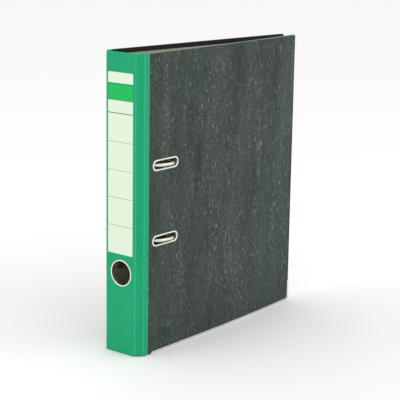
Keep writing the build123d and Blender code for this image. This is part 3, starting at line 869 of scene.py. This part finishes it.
def eyelet_tree():
    """Rolled rims on both faces of a panel, and the barrel between them."""
    floats = [
        ("Length", 0.037), ("Height", 0.008), ("Rim Width", 0.0019), ("Rim Height", 0.0007),
        ("Panel", 0.0024), ("Sheet", 0.0004),
    ]
    inputs = [(label, "NodeSocketFloat", value) for label, value in floats]
    tree = new_tree("Rolled Eyelet", inputs + [("Material", "NodeSocketMaterial", None)])
    given = tree_node(tree, "NodeGroupInput").outputs
    corner = math_node(tree, "MULTIPLY", given["Height"], 0.4999)
    loop = tree_node(tree, "GeometryNodeCurvePrimitiveQuadrilateral",
                     [("Width", given["Length"]), ("Height", given["Height"])])
    bore = tree_node(tree, "GeometryNodeFilletCurve",
                     [("Curve", loop.outputs[0]), ("Count", 14), ("Radius", corner)], mode="POLY")
    half = math_node(tree, "MULTIPLY", given["Rim Width"], 0.5)
    ring = tree_node(tree, "GeometryNodeCurvePrimitiveCircle", [("Resolution", 24), ("Radius", 1.0)])
    size = vector_node(tree, half, given["Rim Height"], 1.0)
    surfaces = []
    for level in (0.0, given["Panel"]):
        place = vector_node(tree, half, level)
        lip = tree_node(tree, "GeometryNodeTransform",
                        [(0, ring.outputs[0]), ("Translation", place), ("Scale", size)])
        surfaces.append(tree_node(tree, "GeometryNodeCurveToMesh",
                                  [("Curve", bore.outputs[0]), ("Profile Curve", lip.outputs[0])]))
    middle = vector_node(tree, math_node(tree, "MULTIPLY", given["Sheet"], 0.5),
                         math_node(tree, "MULTIPLY", given["Panel"], 0.5))
    wall = tree_node(tree, "GeometryNodeCurvePrimitiveQuadrilateral",
                     [("Width", given["Sheet"]), ("Height", given["Panel"])])
    wall = tree_node(tree, "GeometryNodeTransform", [(0, wall.outputs[0]), ("Translation", middle)])
    surfaces.append(tree_node(tree, "GeometryNodeCurveToMesh",
                              [("Curve", bore.outputs[0]), ("Profile Curve", wall.outputs[0])]))
    joined = tree_node(tree, "GeometryNodeJoinGeometry")
    for surface in surfaces:
        tree.links.new(surface.outputs[0], joined.inputs[0])
    close_tree(tree, joined.outputs[0], given["Material"])
    return tree


def wire_tree():
    """Round wire along the base mesh's edges, bent at each point to its own radius."""
    inputs = [("Wire Radius", "NodeSocketFloat", 0.0018), ("Material", "NodeSocketMaterial", None)]
    tree = new_tree("Bent Wire", inputs)
    given = tree_node(tree, "NodeGroupInput").outputs
    line = tree_node(tree, "GeometryNodeMeshToCurve", [(0, given["Geometry"])])
    bend = tree_node(tree, "GeometryNodeInputNamedAttribute", [("Name", "bend")], data_type="FLOAT")
    soft = tree_node(tree, "GeometryNodeFilletCurve",
                     [("Curve", line.outputs[0]), ("Count", 12), ("Radius", bend.outputs[0])], mode="POLY")
    round_ = tree_node(tree, "GeometryNodeCurvePrimitiveCircle",
                       [("Resolution", 24), ("Radius", given["Wire Radius"])])
    wire = tree_node(tree, "GeometryNodeCurveToMesh",
                     [("Curve", soft.outputs[0]), ("Profile Curve", round_.outputs[0]), ("Fill Caps", True)])
    close_tree(tree, wire.outputs[0], given["Material"])
    return tree


def rivet_tree():
    """Domed head at each point of the base mesh."""
    inputs = [
        ("Head Radius", "NodeSocketFloat", 0.0038), ("Head Height", "NodeSocketFloat", 0.0011),
        ("Material", "NodeSocketMaterial", None),
    ]
    tree = new_tree("Domed Rivets", inputs)
    given = tree_node(tree, "NodeGroupInput").outputs
    ball = tree_node(tree, "GeometryNodeMeshUVSphere", [("Segments", 40), ("Rings", 20), ("Radius", 1.0)])
    size = vector_node(tree, given["Head Height"], given["Head Radius"], given["Head Radius"])
    head = tree_node(tree, "GeometryNodeTransform", [(0, ball.outputs[0]), ("Scale", size)])
    spread = tree_node(tree, "GeometryNodeInstanceOnPoints",
                       [("Points", given["Geometry"]), ("Instance", head.outputs[0])])
    close_tree(tree, spread.outputs[0], given["Material"])
    return tree


class ARCHFILE_OT_eyelets(bpy.types.Operator):
    """Make the thumb ring and the two slot eyelets"""

    bl_idname = "archfile.eyelets"
    bl_label = "Eyelets"

    def execute(self, context):
        size = sizes()
        tree = eyelet_tree()
        across_spine = Matrix(((1, 0, 0), (0, 0, -1), (0, 1, 0))).to_4x4()
        across_cover = Matrix(((0, 0, 1), (1, 0, 0), (0, 1, 0))).to_4x4()
        face_y = joints["front_spine_crease"]["pos_m"][1]
        face_x = joints["front_cover_crease"]["pos_m"][0]
        jobs = [
            ("thumb_ring", "spine", size.ring_rim, across_spine),
            ("slot_eyelet_upper", "front_cover", size.slot_rim, across_cover),
            ("slot_eyelet_lower", "front_cover", size.slot_rim, across_cover),
        ]
        for node, body, rim, turn in jobs:
            low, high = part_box(node)
            span = high - low
            centre = (low + high) / 2
            if body == "spine":
                centre.y = face_y
                wide = span.x
            else:
                centre.x = face_x
                wide = span.y
            values = {
                "Length": wide - 2 * rim, "Height": span.z - 2 * rim, "Rim Width": rim,
                "Rim Height": size.rim_height, "Panel": size.panel, "Sheet": size.barrel,
                "Material": finish_for("nickel"),
            }
            made = grown(node + "_rolled", tree, values)
            made.data.transform(Matrix.Translation(centre) @ turn)
            tidy_mesh(made)
            finished(made, "nickel", body)
            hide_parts(node)
        return {"FINISHED"}


def tidy_mesh(made, angle=SMOOTH_ANGLE):
    """Merges doubles, points faces outwards and sets the shading."""
    work = bmesh.new()
    work.from_mesh(made.data)
    bmesh.ops.remove_doubles(work, verts=work.verts, dist=1e-6)
    bmesh.ops.recalc_face_normals(work, faces=work.faces)
    work.to_mesh(made.data)
    work.free()
    soften_shading(made, angle)


class ARCHFILE_OT_arches(bpy.types.Operator):
    """Bend the arch wire"""

    bl_idname = "archfile.arches"
    bl_label = "Arch Wire"

    def execute(self, context):
        corners = [
            (WIRE_END, ARCH_FAR, ARCH_HALF_SPACING, 0.0),
            (ARCH_TOP, ARCH_FAR, ARCH_HALF_SPACING, 10.0),
            (ARCH_TOP, ARCH_NEAR, ARCH_HALF_SPACING, 14.0),
            (AXLE_HEIGHT, ARCH_NEAR, ARCH_HALF_SPACING, 3.2),
            (AXLE_HEIGHT, ARCH_NEAR, CRANK_HALF, 2.6),
            (CRANK_HEIGHT, CRANK_REACH, CRANK_HALF, 2.6),
        ]
        corners += [(height, along, -side, bend) for height, along, side, bend in reversed(corners)]
        points = [Vector(corner[:3]) * MM for corner in corners]
        edges = [(index, index + 1) for index in range(len(points) - 1)]
        base = mesh_from("arch_wire", points, [], edges)
        bends = base.attributes.new("bend", "FLOAT", "POINT")
        bends.data.foreach_set("value", [corner[3] * MM for corner in corners])
        values = {"Wire Radius": sizes().wire, "Material": finish_for("nickel_wire")}
        made = grown("arch_wire", wire_tree(), values, base)
        self.cut_ends(made)
        made.data.transform(mechanism_matrix())
        tidy_mesh(made)
        finished(made, "nickel_wire", "arches")
        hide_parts("arch_bracket")
        return {"FINISHED"}

    def cut_ends(self, made):
        """Slants the wire's two ends to meet the posts."""
        facing = Vector((1.0, -1.0, 0.0)).normalized()
        join = Vector((WIRE_JOIN, ARCH_FAR, 0.0)) * MM
        inside, below = (ARCH_FAR - 3.0) * MM, (WIRE_JOIN + 7.5) * MM
        work = bmesh.new()
        work.from_mesh(made.data)
        near_end = [v for v in work.verts if v.co.y > inside and v.co.x < below]
        chosen = set(near_end)
        edges = [e for e in work.edges if all(v in chosen for v in e.verts)]
        faces = [f for f in work.faces if all(v in chosen for v in f.verts)]
        bmesh.ops.bisect_plane(work, geom=near_end + edges + faces, plane_co=join + facing * 0.15 * MM,
                               plane_no=facing, clear_inner=True)
        rims = [e for e in work.edges if e.is_boundary]
        bmesh.ops.holes_fill(work, edges=rims)
        work.to_mesh(made.data)
        work.free()


class ARCHFILE_OT_rivets(bpy.types.Operator):
    """Set the four rivets' heads on both faces of the back cover"""

    bl_idname = "archfile.rivets"
    bl_label = "Rivets"

    def execute(self, context):
        size = sizes()
        plate_top = size.panel + PLATE * MM
        places = []
        for along in RIVET_ROWS:
            for height in (RIVET_HALF, -RIVET_HALF):
                places += [(face, along * MM, height * MM) for face in (0.0, plate_top)]
        base = mesh_from("rivet_heads", places, [])
        values = {"Head Radius": size.head, "Head Height": size.head_height,
                  "Material": finish_for("nickel")}
        made = grown("rivet_heads", rivet_tree(), values, base)
        made.data.transform(mechanism_matrix())
        tidy_mesh(made)
        finished(made, "nickel", "back_cover")
        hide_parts("base_rivets")
        return {"FINISHED"}


def softened(node, slot, body, width, angle=35.0):
    """Copy of a CAD node with its sharp edges rounded over."""
    work = bmesh.new()
    work.from_mesh(frame["nodes"][node].data)
    bmesh.ops.remove_doubles(work, verts=work.verts, dist=2e-6)
    bmesh.ops.dissolve_limit(work, angle_limit=math.radians(1.0), verts=work.verts, edges=work.edges)
    mesh = bpy.data.meshes.new(node + "_rounded")
    work.to_mesh(mesh)
    work.free()
    made = add_object(node + "_rounded", mesh)
    edge = made.modifiers.new("Soft edges", "BEVEL")
    edge.limit_method = "ANGLE"
    edge.angle_limit = math.radians(angle)
    edge.width = width
    edge.segments = 3
    settle(made)
    soften_shading(made, math.radians(28))
    finished(made, slot, body)
    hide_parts(node)
    return made


class ARCHFILE_OT_pressings(bpy.types.Operator):
    """Round over the edges of the pressed sheet parts"""

    bl_idname = "archfile.pressings"
    bl_label = "Pressed Metal"

    def execute(self, context):
        soft = sizes().soft_edge
        jobs = [
            ("front_rail", "plated_sheet", "front_cover", soft * 0.75),
            ("back_rail", "plated_sheet", "back_cover", soft * 0.75),
            ("base_plate", "plated_sheet", "back_cover", soft * 2),
            ("arch_straps", "plated_sheet", "back_cover", soft),
            ("lever_bearing", "plated_sheet", "back_cover", soft),
            ("lever", "plated_sheet", "lever", soft * 2),
            ("compressor_bar", "nickel", "compressor", soft * 2),
        ]
        for node, slot, body, width in jobs:
            softened(node, slot, body, width)
        dress("lift_spring", finish_for("spring_steel"))
        return {"FINISHED"}


class ARCHFILE_OT_turned(bpy.types.Operator):
    """Round over the posts, pins and roller, and give the bushes their finish"""

    bl_idname = "archfile.turned"
    bl_label = "Posts, Pins and Roller"

    def execute(self, context):
        soft = sizes().soft_edge
        jobs = [
            ("post_upper", "nickel_wire", "back_cover", soft),
            ("post_lower", "nickel_wire", "back_cover", soft),
            ("lever_pin", "nickel", "back_cover", soft),
            ("roller_pin", "nickel", "lever", soft * 0.4),
            ("lever_roller", "roller_plastic", "roller", soft),
        ]
        for node, slot, body, width in jobs:
            softened(node, slot, body, width)
        dress("bar_bushes", finish_for("black_plastic"))
        return {"FINISHED"}


class ARCHFILE_OT_stage(bpy.types.Operator):
    """Set the floor, the light and the camera"""

    bl_idname = "archfile.stage"
    bl_label = "Floor, Light and Camera"

    def execute(self, context):
        scene = context.scene
        scene.view_settings.view_transform = "Standard"
        low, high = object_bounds()
        signs = ((-1, -1), (1, -1), (1, 1), (-1, 1))
        corners = [(x * FLOOR_HALF, y * FLOOR_HALF, low.z) for x, y in signs]
        floor = add_object("floor", mesh_from("floor", corners, [(0, 1, 2, 3)]))
        made = Finish("pale_floor", specular=0.2)
        drift = made.noise(0.8, 2.0)
        base = colours().floor
        made.colour(made.ramp(drift, [(0.3, shade(base, 0.995)), (0.7, shade(base, 1.0))]))
        made.roughness(made.between(made.noise(2.0, 2.0), 0.80, 0.86))
        floor.data.materials.append(made.material)
        floor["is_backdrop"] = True
        world = bpy.data.worlds.new("studio")
        world.use_nodes = True
        background = world.node_tree.nodes["Background"]
        background.inputs["Color"].default_value = (1.0, 1.0, 1.0, 1.0)
        background.inputs["Strength"].default_value = 1.0
        scene.world = world
        for name, turn, rise in LIGHTS:
            self.add_light((low + high) / 2, name, turn, rise)
        self.add_camera(scene)
        return {"FINISHED"}

    def away(self, turn, rise):
        """Direction from the file: degrees round from the spine's side, and up."""
        turn, rise = math.radians(turn), math.radians(rise)
        return Vector((math.sin(turn) * math.cos(rise), -math.cos(turn) * math.cos(rise), math.sin(rise)))

    def add_light(self, centre, name, turn, rise):
        """Soft square light that faces the file."""
        data = bpy.data.lights.new(name, "AREA")
        data.shape = "SQUARE"
        data.size = LIGHT_SIDE
        data.energy = LIGHT_POWER
        lamp = add_object(name, data)
        towards = self.away(turn, rise)
        lamp.location = centre + towards * LIGHT_AWAY
        lamp.rotation_euler = towards.to_track_quat("Z", "Y").to_euler()

    def add_camera(self, scene):
        """Long lens in front of the corner between spine and front cover."""
        roll = math.radians(CAMERA_ROLL)
        back = self.away(CAMERA_TURN, CAMERA_RISE)
        level = (-back).cross(Vector((0.0, 0.0, 1.0))).normalized()
        upright = level.cross(-back)
        right = level * math.cos(roll) + upright * math.sin(roll)
        up = upright * math.cos(roll) - level * math.sin(roll)
        data = bpy.data.cameras.new("camera")
        data.sensor_width = 36.0
        data.lens = CAMERA_LENS
        data.clip_start = 0.05
        data.clip_end = 60.0
        camera = add_object("camera", data)
        turned = Matrix((right, up, back)).transposed().to_4x4()
        camera.matrix_world = Matrix.Translation(CAMERA_PLACE) @ turned
        scene.camera = camera


OPERATORS = (
    ARCHFILE_OT_stage,
    ARCHFILE_OT_panels,
    ARCHFILE_OT_coverings,
    ARCHFILE_OT_creases,
    ARCHFILE_OT_label,
    ARCHFILE_OT_eyelets,
    ARCHFILE_OT_arches,
    ARCHFILE_OT_rivets,
    ARCHFILE_OT_pressings,
    ARCHFILE_OT_turned,
)


class ARCHFILE_PT_sidebar(bpy.types.Panel):
    """Lists the pieces' operators, sizes and colours"""

    bl_label = "Lever Arch File"
    bl_idname = "ARCHFILE_PT_sidebar"
    bl_space_type = "VIEW_3D"
    bl_region_type = "UI"
    bl_category = "Arch File"

    def draw(self, context):
        for operator in OPERATORS:
            self.layout.operator(operator.bl_idname)
        for group in (sizes(), colours()):
            box = self.layout.box()
            for name in group.__annotations__:
                box.prop(group, name)


CLASSES = (ArchFileSizes, ArchFileColours, *OPERATORS, ARCHFILE_PT_sidebar)


def register():
    for cls in CLASSES:
        bpy.utils.register_class(cls)
    bpy.types.Scene.arch_file_sizes = bpy.props.PointerProperty(type=ArchFileSizes)
    bpy.types.Scene.arch_file_colours = bpy.props.PointerProperty(type=ArchFileColours)


def unregister():
    del bpy.types.Scene.arch_file_colours
    del bpy.types.Scene.arch_file_sizes
    for cls in reversed(CLASSES):
        bpy.utils.unregister_class(cls)


def main():
    register()
    for operator in OPERATORS:
        group, name = operator.bl_idname.split(".")
        getattr(getattr(bpy.ops, group), name)()


if __name__ == "__main__":
    main()
